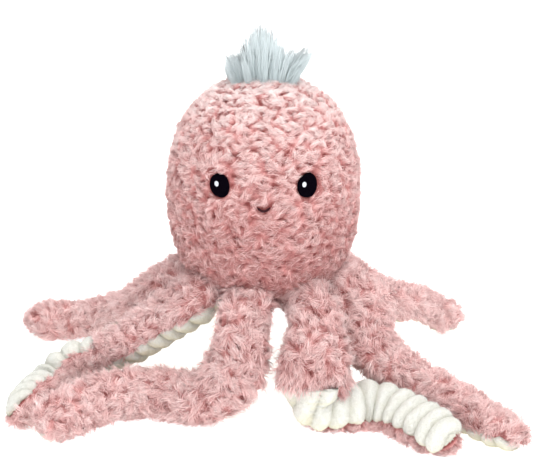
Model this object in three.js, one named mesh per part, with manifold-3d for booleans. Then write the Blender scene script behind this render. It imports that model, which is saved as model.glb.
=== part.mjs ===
// Octopus plush toy: a stuffed furry head that stands on eight stuffed arms.
// Each arm is a furry cover over a ribbed underside panel, with stuffing inside, and bends
// at the seam where it joins the head and again halfway along.
// Millimetres, +Z up, the viewer in front at -Y, +X to the viewer's right.
import * as THREE from 'three';
import { mergeVertices } from 'three/addons/utils/BufferGeometryUtils.js';
import Module from 'manifold-3d';

const wasm = await Module();
wasm.setup();

// Head
const headWidth = 142;
const headLevel = 160;
const crownRise = 83;
const headFullness = 2.35;
const baseHeight = 79;
const chinBelowBase = 7;
const chinDrop = headLevel - baseHeight + chinBelowBase;
const headClothThickness = 5;
const basePanelThickness = 4;
const headRings = 9;
const headSides = 20;

// Face
const eyeWidth = 14.2;
const eyeHeight = 17;
const eyeSpacing = 62;
const eyeLevel = 182;
const eyeThickness = 2;
const glintWidth = 3.4;
const glintHeight = 4.6;
const glintThickness = 0.9;
const glintAcrossShare = 0.2;
const glintRiseShare = 0.125;
const patchSides = 20;
const mouthWidth = 9.5;
const mouthDip = 3.4;
const mouthLevel = 167.5;
const mouthThread = 1.4;
const mouthSteps = 8;
const threadSides = 6;

// Tuft of long hair on the crown
const tuftSpread = 34;
const tuftDepth = 20;
const tuftLength = 36;
const tuftBackingThickness = 2.5;
const lockRadius = 3;
const lockCount = 12;
const lockSides = 4;
const lockCurl = 1.5;
const lockGirthShares = [[0, 1], [0.55, 0.85], [1, 0.12]];
const sideLeanShare = 0.75;
const backLeanShare = 0.45;
const edgeShortShare = 0.42;
const lockUnevenShare = 0.1;
const tuftBackingSides = 12;

// Arms
const ringInset = 21;
const ringRadius = headWidth / 2 - ringInset;
const ringTurnDeg = 12;
const rootHeight = 92;
const rootRise = 5;
const armReach = 200;
const armHalfWidth = 23.5;
const armHalfThickness = 17;
const coverThickness = 4.5;
const panelThickness = 5;
const ribPitch = 15;
const ribDepth = 2.6;
const seamAngleDeg = 33;
const coverPoints = 6;
const panelPoints = 3;
const curveDivisions = 400;
const settlingPasses = 3;

// Fits
const seamGap = 0.3;
const headFillingGap = 2;
const armFillingGap = 1.1;
const floorFlat = 0.5;
const rootDroopDeg = 6;
const bendDroopDeg = 6;

// How the arm swells and tapers: each row is how far along the arm, then the size there.
const widthShares = [
  [0, 0.7], [0.09, 0.82], [0.2, 1], [0.32, 0.92], [0.42, 0.8], [0.6, 0.77], [0.85, 0.74], [1, 0.7],
];
const thicknessShares = [[0, 1], [0.14, 1], [0.3, 0.94], [0.5, 0.82], [0.75, 0.76], [1, 0.72]];
const tipRoundShare = 0.09;
const tipRingShares = [0.4, 0.72, 0.93];
const innerLeastShare = 0.3;
const seamOpenShare = 3;

// The eight arms, front first. Each row of a path is across and back from the arm's root,
// as shares of the reach, and a height as a share of the root height; a height of 0 lies on
// the floor. The top rows are the directions that the furry side faces along each half.
const arms = [
  {
    name: 'front_left',
    seat: -0.5,
    upperShares: [[-0.02, -0.06, 0.92], [-0.03, -0.105, 0.72], [-0.045, -0.12, 0.5], [-0.085, -0.125, 0.32]],
    lowerShares: [
      [-0.175, -0.115, 0], [-0.29, -0.055, 0], [-0.43, -0.01, 0],
      [-0.58, -0.06, 0], [-0.685, -0.17, 0], [-0.735, -0.25, 0],
    ],
    upperTopShares: [[-0.1, -0.6, 1], [0, -1, 0.5], [0, -1, 0.3]],
    lowerTopShares: [[0, -1, 0.3], [0, -1, 0.5], [0.3, -0.8, 0.8]],
  },
  {
    name: 'front_right',
    seat: 0.5,
    upperShares: [[0.04, -0.09, 0.9], [0.05, -0.14, 0.72], [0.042, -0.165, 0.53], [0.04, -0.175, 0.4]],
    lowerShares: [
      [0.072, -0.175, 0.27], [0.15, -0.16, 0], [0.25, -0.135, 0],
      [0.35, -0.18, 0], [0.45, -0.31, 0], [0.525, -0.42, 0],
    ],
    upperTopShares: [[0.2, -0.6, 1], [0.1, -1, 0.4], [0, -1, 0.1]],
    lowerTopShares: [[0, 1, -0.3], [0, 0.75, -0.85], [0.4, 0.5, -0.85]],
  },
  {
    name: 'side_left',
    seat: -1.5,
    upperShares: [
      [-0.055, -0.02, 0.91], [-0.145, 0, 0.76], [-0.225, 0.02, 0.62],
      [-0.315, 0.05, 0.47], [-0.415, 0.08, 0.34],
    ],
    lowerShares: [[-0.515, 0.06, 0.25], [-0.6, -0.02, 0], [-0.66, -0.15, 0], [-0.69, -0.27, 0]],
    upperTopShares: [[-0.6, 0.2, 1], [-0.2, 0.6, 1], [0, 0.1, 1]],
    lowerTopShares: [[0.1, -0.4, -1], [0.4, -0.2, -0.9], [0.8, -0.1, -0.6]],
  },
  {
    name: 'side_right',
    seat: 1.5,
    upperShares: [[0.09, -0.04, 0.88], [0.18, -0.12, 0.55], [0.285, -0.13, 0.33]],
    lowerShares: [[0.39, -0.17, 0.18], [0.485, -0.285, 0], [0.57, -0.42, 0], [0.67, -0.54, 0]],
    upperTopShares: [[0.6, 0.1, 1], [0.4, 0, 1], [0.2, -0.2, 1]],
    lowerTopShares: [[0.2, -0.2, 1], [0.2, -0.2, 1], [0.4, 0.5, 1]],
  },
  {
    name: 'back_left',
    seat: -2.5,
    upperShares: [[-0.105, 0.065, 0.84], [-0.215, 0.215, 0.58], [-0.305, 0.355, 0.38]],
    lowerShares: [[-0.39, 0.445, 0.26], [-0.49, 0.485, 0], [-0.605, 0.47, 0], [-0.705, 0.445, 0]],
    upperTopShares: [[-0.6, 0.4, 1], [-0.3, 0.1, 1], [0, -0.3, 1]],
    lowerTopShares: [[0, -0.3, 1], [0, -0.6, 1], [0, -0.8, 1]],
  },
  {
    name: 'back_right',
    seat: 2.5,
    upperShares: [[0.1, 0.045, 0.84], [0.22, 0.11, 0.61], [0.335, 0.23, 0.45]],
    lowerShares: [[0.43, 0.33, 0.33], [0.52, 0.385, 0.2], [0.59, 0.385, 0], [0.645, 0.355, 0]],
    upperTopShares: [[0.6, 0.2, 1], [0.3, 0.1, 1], [0, -0.2, 1]],
    lowerTopShares: [[0, -0.2, 1], [0, -0.5, 1], [0.2, -0.6, 1]],
  },
  {
    name: 'rear_left',
    seat: -3.5,
    upperShares: [[-0.02, 0.095, 0.89], [-0.02, 0.215, 0.65], [-0.04, 0.355, 0.41]],
    lowerShares: [[-0.11, 0.485, 0.24], [-0.23, 0.555, 0], [-0.36, 0.575, 0], [-0.46, 0.56, 0]],
    upperTopShares: [[-0.3, 0.6, 1], [0, 0.6, 1], [0, 0.3, 1]],
    lowerTopShares: [[0, 0.3, 1], [-0.1, 0, 1], [0, 0.3, 1]],
  },
  {
    name: 'rear_right',
    seat: 3.5,
    upperShares: [[0.045, 0.08, 0.89], [0.095, 0.195, 0.65], [0.155, 0.325, 0.41]],
    lowerShares: [[0.235, 0.445, 0.24], [0.345, 0.505, 0], [0.46, 0.525, 0], [0.55, 0.535, 0]],
    upperTopShares: [[0.2, 0.6, 1], [0.2, 0.6, 1], [0, 0.3, 1]],
    lowerTopShares: [[0, 0.3, 1], [0, 0, 1], [-0.1, 0.3, 1]],
  },
];

// Materials
const pinkFur = new THREE.MeshStandardMaterial({ color: 0xe6b8b5, roughness: 0.95, metalness: 0 });
const whiteRib = new THREE.MeshStandardMaterial({ color: 0xf1f1ea, roughness: 0.9, metalness: 0 });
const filling = new THREE.MeshStandardMaterial({ color: 0xf7f6f2, roughness: 1, metalness: 0 });
const paleHair = new THREE.MeshStandardMaterial({ color: 0xc5d3d4, roughness: 0.85, metalness: 0 });
const navyThread = new THREE.MeshStandardMaterial({ color: 0x14121c, roughness: 0.45, metalness: 0 });
const whiteThread = new THREE.MeshStandardMaterial({ color: 0xf8f8f6, roughness: 0.5, metalness: 0 });
const mouthThreadColour = new THREE.MeshStandardMaterial({ color: 0x5b2f38, roughness: 0.6, metalness: 0 });

// Solids
function solidOf(geometry) {
  const bare = geometry.clone();
  bare.deleteAttribute('normal');
  bare.deleteAttribute('uv');
  const merged = mergeVertices(bare);
  return new wasm.Manifold(new wasm.Mesh({
    numProp: 3,
    vertProperties: merged.attributes.position.array,
    triVerts: new Uint32Array(merged.index.array),
  }));
}

function geometryOf(solid) {
  const mesh = solid.getMesh();
  const geometry = new THREE.BufferGeometry();
  const places = new Float32Array(mesh.vertProperties);
  geometry.setAttribute('position', new THREE.BufferAttribute(places, mesh.numProp));
  geometry.setIndex(new THREE.BufferAttribute(new Uint32Array(mesh.triVerts), 1));
  geometry.computeVertexNormals();
  return geometry;
}

function meshOf(name, solid, material, origin) {
  const geometry = geometryOf(solid).translate(-origin.x, -origin.y, -origin.z);
  const mesh = new THREE.Mesh(geometry, material);
  mesh.name = name;
  return mesh;
}

function valueAt(table, share) {
  const next = table.findIndex((row) => row[0] >= share);
  if (next <= 0) return table[0][1];
  const [before, after] = [table[next - 1], table[next]];
  return THREE.MathUtils.mapLinear(share, before[0], after[0], before[1], after[1]);
}

// The head: one closed profile turned about the vertical axis, grown by a margin
function headRadiusAt(height, margin) {
  const reach = (height > headLevel ? crownRise : chinDrop) + margin;
  const away = Math.min(1, Math.abs(height - headLevel) / reach);
  return (headWidth / 2 + margin) * (1 - away ** headFullness) ** (1 / headFullness);
}

function headProfile(margin, floor, steps) {
  const points = [];
  const bottom = floor - headLevel;
  for (let i = 0; i <= steps; i++) {
    const turn = Math.asin(bottom / (chinDrop + margin)) * (1 - i / steps) + (Math.PI / 2) * (i / steps);
    const lift = turn < 0 ? chinDrop + margin : crownRise + margin;
    const height = headLevel + lift * Math.sign(turn) * Math.abs(Math.sin(turn)) ** (2 / headFullness);
    const level = i === 0 ? floor : height;
    points.push(new THREE.Vector2(i === steps ? 0 : headRadiusAt(level, margin), level));
  }
  return points;
}

function turned(profile) {
  return solidOf(new THREE.LatheGeometry(profile, headSides).rotateX(Math.PI / 2));
}

function headSolid(margin, floor) {
  return turned([new THREE.Vector2(0, floor), ...headProfile(margin, floor, headRings)]);
}

const headOuter = headSolid(0, baseHeight);
const headCutter = headSolid(seamGap, baseHeight - seamGap);

function headCover() {
  const outer = headProfile(0, baseHeight, headRings);
  const inner = headProfile(-headClothThickness, baseHeight, headRings - 2);
  return turned([...inner.reverse(), ...outer, inner.at(0)]);
}

function basePanel() {
  const radius = headRadiusAt(baseHeight, -headClothThickness) - seamGap;
  const disc = new THREE.CylinderGeometry(radius, radius, basePanelThickness, headSides);
  disc.rotateX(Math.PI / 2).translate(0, 0, baseHeight + basePanelThickness / 2);
  return solidOf(disc);
}

function headStuffing() {
  const floor = baseHeight + basePanelThickness + seamGap;
  return headSolid(-headClothThickness - headFillingGap, floor);
}

// Patches that lie on the head, such as the embroidered eyes
function ovalPrism(width, height, across, level, depth) {
  const prism = new THREE.CylinderGeometry(1, 1, depth, patchSides);
  prism.scale(width / 2, 1, height / 2).translate(across, -depth / 2, level);
  return solidOf(prism);
}

function patchOnHead(width, height, across, level, low, high) {
  const outer = headSolid(high, baseHeight);
  const inner = headSolid(low, baseHeight);
  return ovalPrism(width, height, across, level, headWidth).intersect(outer).subtract(inner);
}

function mouth() {
  const standOff = seamGap + mouthThread / 2;
  const points = [];
  for (let i = 0; i <= mouthSteps; i++) {
    const across = mouthWidth * (i / mouthSteps - 1 / 2);
    const level = mouthLevel - mouthDip * (1 - (2 * i / mouthSteps - 1) ** 2);
    const reach = headRadiusAt(level, standOff);
    points.push(new THREE.Vector3(across, -Math.sqrt(reach ** 2 - across ** 2), level));
  }
  return solidOf(new THREE.ExtrudeGeometry(
    new THREE.Shape().absarc(0, 0, mouthThread / 2, 0, 2 * Math.PI),
    {
      steps: mouthSteps,
      curveSegments: threadSides / 2,
      extrudePath: new THREE.CatmullRomCurve3(points),
      bevelEnabled: false,
    },
  ));
}

// The tuft: a backing disc with tapering locks of hair that fan out over the crown
function lock(root, lean, length) {
  const circle = new THREE.Shape().absarc(0, 0, lockRadius, 0, 2 * Math.PI);
  const outline = circle.getPoints(lockSides).slice(1);
  const rings = lockGirthShares.map(([rise, girth]) => outline.map((point) => new THREE.Vector3(
    root.x + lean.x * length * rise ** lockCurl + point.x * girth,
    root.y + lean.y * length * rise ** lockCurl + point.y * girth,
    root.z + length * rise,
  )));
  return solidOf(loft(rings, outline, false));
}

function tuft() {
  const level = headLevel + crownRise + seamGap + tuftBackingThickness;
  const disc = new THREE.CylinderGeometry(1, 1, tuftLength, tuftBackingSides);
  disc.rotateX(Math.PI / 2).scale(tuftSpread / 2, tuftDepth / 2, 1);
  disc.translate(0, 0, level - tuftLength / 2);
  let solid = solidOf(disc).subtract(headSolid(seamGap, baseHeight));
  const goldenTurn = Math.PI * (3 - Math.sqrt(5));
  for (let i = 0; i < lockCount; i++) {
    const out = Math.sqrt((i + 1 / 2) / lockCount);
    const across = out * Math.cos(goldenTurn * i);
    const back = out * Math.sin(goldenTurn * i);
    const root = new THREE.Vector3(
      across * (tuftSpread / 2 - lockRadius),
      back * (tuftDepth / 2 - lockRadius),
      level - tuftBackingThickness / 2,
    );
    const lean = new THREE.Vector2(sideLeanShare * across, backLeanShare * back);
    const uneven = lockUnevenShare * Math.sin(2 * goldenTurn * i);
    const length = tuftLength * (1 - edgeShortShare * out ** 2 + uneven);
    solid = solid.add(lock(root, lean, length));
  }
  return solid;
}

// A closed body lofted through rings of points that all follow one outline. Each face between
// two rings is split along one diagonal or the other, so that nested bodies can match.
function loft(rings, outline, mirrored) {
  const count = outline.length;
  const faces = [];
  for (let ring = 0; ring < rings.length - 1; ring++) {
    for (let i = 0; i < count; i++) {
      const a = ring * count + i;
      const b = ring * count + ((i + 1) % count);
      if (mirrored) faces.push(a, b, a + count, b, b + count, a + count);
      else faces.push(a, b, b + count, a, b + count, a + count);
    }
  }
  const last = (rings.length - 1) * count;
  for (const [a, b, c] of THREE.ShapeUtils.triangulateShape(outline, [])) {
    faces.push(a, c, b, last + a, last + b, last + c);
  }
  const geometry = new THREE.BufferGeometry().setFromPoints(rings.flat());
  geometry.setIndex(faces);
  return geometry;
}

// Arms: a centreline, the size of the section along it and the way its furry side faces.
// Each low row is lowered until the section there presses on the floor.
function armShape(arm) {
  const turn = THREE.MathUtils.degToRad(arm.seat * 360 / arms.length + ringTurnDeg);
  const outward = new THREE.Vector3(Math.sin(turn), -Math.cos(turn), 0);
  const root = outward.clone().multiplyScalar(ringRadius).setZ(rootHeight);
  const inside = outward.clone().multiplyScalar(ringRadius - armHalfThickness).setZ(rootHeight + rootRise);
  const rows = [...arm.upperShares, ...arm.lowerShares];
  const knotAt = (row) => (2 + row) / (1 + rows.length);
  let drops = rows.map(() => armHalfThickness);
  let shape;
  for (let pass = 0; pass < settlingPasses; pass++) {
    const points = rows.map(([x, y, lift], i) => {
      const height = Math.max(drops[i] - floorFlat, rootHeight * lift);
      return new THREE.Vector3(root.x + armReach * x, root.y + armReach * y, height);
    });
    const curve = new THREE.CatmullRomCurve3([inside, root, ...points], false, 'catmullrom', 1 / 2);
    curve.arcLengthDivisions = curveDivisions;
    const lengths = curve.getLengths();
    const shareOf = (knot) => lengths[Math.round(knot * curveDivisions)] / lengths.at(-1);
    const bend = shareOf(knotAt(arm.upperShares.length - 1));
    shape = { arm, curve, bend, root, outward, length: lengths.at(-1) };
    drops = rows.map((row, i) => {
      const half = i < arm.upperShares.length ? 0 : 1;
      return dropAt(stationAt(shape, half, Math.min(shareOf(knotAt(i)), 1 - tipRoundShare)));
    });
  }
  return shape;
}

// How far a section reaches below its centre
function dropAt(station) {
  const outline = placed(station, [...coverOutline(station), ...panelOutline(station, 0)]);
  return station.centre.z - Math.min(...outline.map((point) => point.z));
}

function facing(arm, half, share) {
  const rows = half === 0 ? arm.upperTopShares : arm.lowerTopShares;
  const at = THREE.MathUtils.clamp(share, 0, 1) * (rows.length - 1);
  const before = Math.min(Math.floor(at), rows.length - 2);
  const from = new THREE.Vector3(...rows[before]).normalize();
  const to = new THREE.Vector3(...rows[before + 1]).normalize();
  return from.lerp(to, at - before).normalize();
}

function stationAt(shape, half, share) {
  const centre = shape.curve.getPointAt(share);
  const along = shape.curve.getTangentAt(share);
  const reach = half === 0 ? share / shape.bend : (share - shape.bend) / (1 - shape.bend);
  const up = facing(shape.arm, half, reach);
  up.addScaledVector(along, -up.dot(along)).normalize();
  const across = new THREE.Vector3().crossVectors(up, along);
  const tip = THREE.MathUtils.clamp((share - 1 + tipRoundShare) / tipRoundShare, 0, 1);
  const round = Math.sqrt(1 - tip ** 2);
  return {
    centre, along, up, across, round,
    halfWidth: armHalfWidth * valueAt(widthShares, share) * round,
    halfThickness: armHalfThickness * valueAt(thicknessShares, share) * round,
  };
}

function arc(station, inset, from, to, count) {
  const a = Math.max(station.halfWidth - inset, station.halfWidth * innerLeastShare);
  const b = Math.max(station.halfThickness - inset, station.halfThickness * innerLeastShare);
  return Array.from({ length: count }, (_, i) => {
    const turn = from + (to - from) * i / (count - 1);
    return [a * Math.cos(turn), b * Math.sin(turn)];
  });
}

const seamAngle = THREE.MathUtils.degToRad(seamAngleDeg);

function coverOutline(station) {
  const outer = arc(station, 0, -seamAngle, Math.PI + seamAngle, coverPoints);
  const inner = arc(station, coverThickness, Math.PI + seamAngle, -seamAngle, coverPoints);
  return [...outer, ...inner];
}

function panelOutline(station, groove) {
  const gapAngle = seamOpenShare * seamGap / station.halfThickness;
  const from = Math.PI + seamAngle + gapAngle;
  const to = 2 * Math.PI - seamAngle - gapAngle;
  const outer = arc(station, groove * station.round, from, to, panelPoints);
  const inner = arc(station, panelThickness, to, from, panelPoints);
  return [...outer, ...inner];
}

function stuffingOutline(station) {
  const inset = Math.max(coverThickness, panelThickness) + armFillingGap;
  const overTop = arc(station, inset, -seamAngle, Math.PI + seamAngle, coverPoints);
  const underneath = arc(station, inset, Math.PI + seamAngle, 2 * Math.PI - seamAngle, panelPoints);
  return [...overTop, ...underneath.slice(1, -1)];
}

function placed(station, outline) {
  return outline.map(([u, v]) =>
    station.centre.clone().addScaledVector(station.across, u).addScaledVector(station.up, v));
}

// The stations of one half: one at each groove between ribs, and closer ones at the tip
function stationsOf(shape, half) {
  const start = half === 0 ? 0 : shape.bend;
  const end = half === 0 ? shape.bend : 1 - tipRoundShare;
  const ribs = Math.round((end - start) * shape.length / ribPitch);
  const shares = Array.from({ length: ribs + 1 }, (_, i) => start + (end - start) * i / ribs);
  if (half === 1) shares.push(...tipRingShares.map((share) => 1 - tipRoundShare * (1 - share)));
  return { ribs, stations: shares.map((share) => stationAt(shape, half, share)) };
}

function sweep(stations, outlineOf, mirrored) {
  const outlines = stations.map(outlineOf);
  const section = outlines[0].map(([u, v]) => new THREE.Vector2(u, v));
  return solidOf(loft(stations.map((station, i) => placed(station, outlines[i])), section, mirrored));
}

// The underside panel puffs out between its grooves, midway between two stations
function ribbedSweep(stations, ribs) {
  const rings = [];
  stations.forEach((station, i) => {
    rings.push(placed(station, panelOutline(station, i <= ribs ? ribDepth : 0)));
    if (i >= ribs) return;
    const here = placed(station, panelOutline(station, 0));
    const next = placed(stations[i + 1], panelOutline(stations[i + 1], 0));
    rings.push(here.map((point, k) => point.clone().lerp(next[k], 1 / 2)));
  });
  const section = panelOutline(stations[0], ribDepth).map(([u, v]) => new THREE.Vector2(u, v));
  return solidOf(loft(rings, section, false));
}

// A large block whose face is a plane, for cutting everything beyond that plane away
function blockBeyond(point, normal) {
  const size = 2 * armReach;
  const block = new THREE.BoxGeometry(size, size, size).translate(0, 0, size / 2);
  block.applyQuaternion(new THREE.Quaternion().setFromUnitVectors(new THREE.Vector3(0, 0, 1), normal));
  return solidOf(block.translate(point.x, point.y, point.z));
}

function turnedAbout(solidGeometry, pivot, axis, angle) {
  return solidGeometry
    .clone()
    .translate(-pivot.x, -pivot.y, -pivot.z)
    .applyQuaternion(new THREE.Quaternion().setFromAxisAngle(axis, angle))
    .translate(pivot.x, pivot.y, pivot.z);
}

// The two hinges of an arm, each on the highest line of its section
function hingeAt(shape, half, share) {
  const station = stationAt(shape, half, share);
  const level = new THREE.Vector3(0, 0, 1);
  const axis = new THREE.Vector3().crossVectors(station.along, level).normalize();
  const rise = new THREE.Vector3().crossVectors(axis, station.along);
  const reach = Math.hypot(
    station.halfWidth * station.across.dot(rise),
    station.halfThickness * station.up.dot(rise),
  );
  const pivot = station.centre.clone().addScaledVector(rise, reach + seamGap);
  return { pivot, axis, along: station.along };
}

function rootHinge(shape) {
  const axis = new THREE.Vector3().crossVectors(shape.outward, new THREE.Vector3(0, 0, 1));
  const level = rootHeight + armHalfThickness;
  const pivot = shape.outward.clone().multiplyScalar(headRadiusAt(level, seamGap)).setZ(level);
  return { pivot, axis };
}

const floorBlock = blockBeyond(new THREE.Vector3(0, 0, 0), new THREE.Vector3(0, 0, -1));

function armGroup(arm) {
  const shape = armShape(arm);
  const rootAt = rootHinge(shape);
  const bendAt = hingeAt(shape, 0, shape.bend);
  const droop = THREE.MathUtils.degToRad(rootDroopDeg);
  const headGeometry = geometryOf(headCutter);
  const headTurned = solidOf(turnedAbout(headGeometry, rootAt.pivot, rootAt.axis, droop));
  const headCut = headCutter.add(headTurned);

  const wedge = THREE.MathUtils.degToRad(bendDroopDeg);
  const back = bendAt.along.clone().negate();
  const tilted = back.clone().applyAxisAngle(bendAt.axis, wedge);
  const face = bendAt.pivot.clone().addScaledVector(bendAt.along, seamGap);
  const bendCut = blockBeyond(face, back).add(blockBeyond(face, tilted));

  const near = stationsOf(shape, 0);
  const far = stationsOf(shape, 1);
  const upperParts = [
    ['cover', sweep(near.stations, coverOutline, false), pinkFur],
    ['underside', ribbedSweep(near.stations, near.ribs), whiteRib],
    ['stuffing', sweep(near.stations, stuffingOutline, true), filling],
  ];
  const lowerParts = [
    ['cover', sweep(far.stations, coverOutline, false), pinkFur],
    ['underside', ribbedSweep(far.stations, far.ribs), whiteRib],
    ['stuffing', sweep(far.stations.slice(0, far.ribs + 1), stuffingOutline, true), filling],
  ];

  const upper = new THREE.Group();
  upper.position.copy(rootAt.pivot);
  for (const [part, solid, material] of upperParts) {
    const cut = solid.subtract(headCut).subtract(floorBlock);
    upper.add(meshOf(`arm_${arm.name}_upper_${part}`, cut, material, rootAt.pivot));
  }
  const lower = new THREE.Group();
  lower.position.copy(bendAt.pivot).sub(rootAt.pivot);
  for (const [part, solid, material] of lowerParts) {
    const cut = solid.subtract(bendCut).subtract(floorBlock);
    lower.add(meshOf(`arm_${arm.name}_lower_${part}`, cut, material, bendAt.pivot));
  }
  upper.add(lower);
  upper.userData = { joint: `${arm.name}_root`, axis: rootAt.axis.toArray() };
  lower.userData = { joint: `${arm.name}_bend`, axis: bendAt.axis.toArray() };
  return upper;
}

// The whole toy, moved so that the middle of its footprint on the floor is the origin
const toy = new THREE.Group();
const here = new THREE.Vector3(0, 0, 0);
toy.add(meshOf('head_cover', headCover(), pinkFur, here));
toy.add(meshOf('head_stuffing', headStuffing(), filling, here));
toy.add(meshOf('base_panel', basePanel(), pinkFur, here));
toy.add(meshOf('crown_tuft', tuft(), paleHair, here));
toy.add(meshOf('mouth_thread', mouth(), mouthThreadColour, here));
for (const [side, sign] of [['left', -1], ['right', 1]]) {
  const across = sign * eyeSpacing / 2;
  const eye = patchOnHead(eyeWidth, eyeHeight, across, eyeLevel, seamGap, seamGap + eyeThickness);
  toy.add(meshOf(`eye_${side}`, eye, navyThread, here));
  const low = 2 * seamGap + eyeThickness;
  const glint = patchOnHead(
    glintWidth,
    glintHeight,
    across - eyeWidth * glintAcrossShare,
    eyeLevel + eyeHeight * glintRiseShare,
    low,
    low + glintThickness,
  );
  toy.add(meshOf(`eye_${side}_glint`, glint, whiteThread, here));
}
for (const arm of arms) toy.add(armGroup(arm));

const box = new THREE.Box3().setFromObject(toy, true);
const middle = box.getCenter(new THREE.Vector3());
toy.position.set(-middle.x, -middle.y, -box.min.z);

export default toy;
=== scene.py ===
# Octopus plush toy: fur, ribbed undersides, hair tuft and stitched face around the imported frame.
# Shapes are worked out in millimetres from the head's own axis, and made in metres.
from math import asin, atan, ceil, cos, pi, radians, sin, sqrt

import bpy
import numpy as np
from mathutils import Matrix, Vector, kdtree

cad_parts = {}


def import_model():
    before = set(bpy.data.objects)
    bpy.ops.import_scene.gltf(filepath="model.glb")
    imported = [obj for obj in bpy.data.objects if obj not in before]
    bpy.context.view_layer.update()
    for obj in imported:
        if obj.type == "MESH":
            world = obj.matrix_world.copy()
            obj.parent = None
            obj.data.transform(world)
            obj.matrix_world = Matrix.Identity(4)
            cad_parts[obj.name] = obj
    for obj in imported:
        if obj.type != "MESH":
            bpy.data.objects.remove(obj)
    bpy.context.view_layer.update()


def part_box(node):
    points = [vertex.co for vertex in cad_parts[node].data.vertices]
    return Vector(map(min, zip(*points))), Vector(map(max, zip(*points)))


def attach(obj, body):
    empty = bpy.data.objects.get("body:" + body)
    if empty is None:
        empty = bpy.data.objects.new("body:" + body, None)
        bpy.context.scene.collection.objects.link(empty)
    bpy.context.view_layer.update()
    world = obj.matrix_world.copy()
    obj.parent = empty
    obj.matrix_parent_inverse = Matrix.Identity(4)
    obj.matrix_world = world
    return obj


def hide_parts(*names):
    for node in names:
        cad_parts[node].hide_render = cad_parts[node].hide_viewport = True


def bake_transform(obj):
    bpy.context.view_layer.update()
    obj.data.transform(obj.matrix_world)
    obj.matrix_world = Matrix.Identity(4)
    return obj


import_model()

MM = 0.001
scene = bpy.context.scene
head_low, head_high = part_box("head_cover")
AXIS = np.array([(head_low.x + head_high.x) / 2, (head_low.y + head_high.y) / 2, 0.0])
UP = np.array([0, 0, 1])

# -------- sizes, in millimetres
# As in the solids, apart from the crown, the glints and the mouth, which follow the photograph
HEAD_WIDTH = 142.0
HEAD_LEVEL = 160.0
CROWN_RISE = 86.0
HEAD_FULLNESS = 2.35
BASE_HEIGHT = 79.0
CHIN_BELOW_BASE = 7.0
CHIN_DROP = HEAD_LEVEL - BASE_HEIGHT + CHIN_BELOW_BASE
EYE_WIDTH, EYE_HEIGHT = 14.2, 17.0
EYE_SPACING, EYE_LEVEL = 62.0, 182.0
GLINT_WIDTH, GLINT_HEIGHT = 3.0, 3.8
MOUTH_WIDTH, MOUTH_DIP, MOUTH_LEVEL = 9.0, 2.7, 169.2
TUFT_SPREAD, TUFT_DEPTH = 34.0, 20.0
RING_RADIUS = HEAD_WIDTH / 2 - 21.0
RING_TURN = radians(12.0)
ROOT_HEIGHT, ROOT_RISE = 92.0, 5.0
ARM_REACH = 200.0
ARM_HALF_WIDTH, ARM_HALF_THICKNESS = 23.5, 17.0
COVER_POINTS, PANEL_POINTS, PANEL_CLEARANCE = 6, 3, 0.3
SEAM_ANGLE = radians(33.0)
FLOOR_FLAT = 0.5
TIP_ROUND = 0.09
WIDTH_ROWS = [
    (0, 0.7), (0.09, 0.82), (0.2, 1), (0.32, 0.92), (0.42, 0.8), (0.6, 0.77), (0.85, 0.74), (1, 0.7),
]
THICKNESS_ROWS = [(0, 1), (0.14, 1), (0.3, 0.94), (0.5, 0.82), (0.75, 0.76), (1, 0.72)]

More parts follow.
